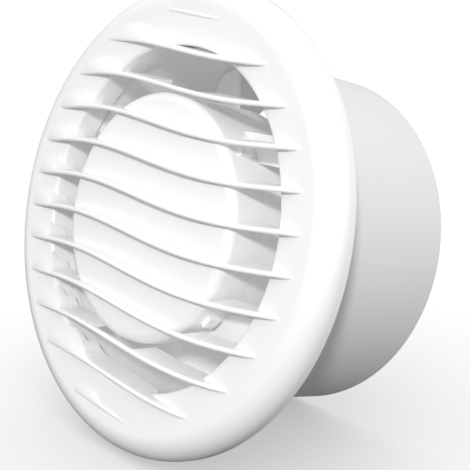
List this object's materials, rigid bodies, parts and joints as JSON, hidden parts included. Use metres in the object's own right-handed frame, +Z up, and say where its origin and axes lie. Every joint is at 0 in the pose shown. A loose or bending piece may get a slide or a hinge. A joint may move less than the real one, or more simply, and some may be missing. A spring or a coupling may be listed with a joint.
{
  "type": "bathroom extractor fan",
  "caption": "Round extractor fan for a 120 mm duct: wave-louvred push-on grille, shaded-pole motor in a domed cover on four arms, and an axial impeller in a plain duct tube.",
  "frame": {"origin": "on the fan's axis, in the wall plane (the back face of the flange)", "axes": "+Y along the duct, into the wall; -Y towards the room; +Z up as mounted on a wall"},
  "size_m": [0.155, 0.0842, 0.155],
  "materials": {
    "white_gloss": "glossy white ABS",
    "white_satin": "satin white ABS",
    "impeller_plastic": "satin white ABS",
    "lamination": "varnished silicon steel sheets",
    "zinc": "die-cast",
    "steel": "ground steel",
    "zinc_screw": "zinc plated",
    "copper": "bare copper",
    "coil": "yellow tape over enamelled wire",
    "bobbin": "natural nylon",
    "brass": "machined brass",
    "terminal_plastic": "polyamide",
    "rubber": "grey rubber",
    "brown_pvc": "PVC sleeve",
    "blue_pvc": "PVC sleeve",
    "fuse": "shrink sleeve"
  },
  "bodies": {
    "housing": {"duct_housing": "white_satin", "motor_carrier": "white_satin", "motor_cover": "white_gloss", "cable_grommet": "rubber", "cable_clamp": "white_satin", "cable_clamp_screws": "zinc_screw", "terminal_block": "terminal_plastic", "terminal_clamps": "brass", "terminal_screws": "zinc_screw", "terminal_fixing_screw": "zinc_screw", "live_lead": "brown_pvc", "neutral_lead": "blue_pvc", "stator_core": "lamination", "coil_bobbin": "bobbin", "coil_winding": "coil", "shading_rings": "copper", "thermal_fuse": "fuse", "front_bearing_bracket": "zinc", "rear_bearing_bracket": "zinc", "bearing_outer_rings": "steel", "motor_screws": "zinc_screw", "motor_washers": "zinc_screw"},
    "grille": {"front_grille": "white_gloss"},
    "rotor": {"bearing_inner_rings": "steel", "bearing_balls": "steel", "motor_shaft": "steel", "rotor_core": "lamination", "rotor_end_rings": "zinc", "shaft_spacers": "bobbin", "impeller": "impeller_plastic", "impeller_clip": "steel"}
  },
  "joints": [
    {"name": "impeller_spin", "type": "hinge", "parent": "housing", "child": "rotor", "pos_m": [0, 0, 0], "axis": [0, 1, 0], "continuous": true},
    {"name": "grille_pull", "type": "slide", "parent": "housing", "child": "grille", "axis": [0, -1, 0], "range_m": [0, 0.03]}
  ]
}
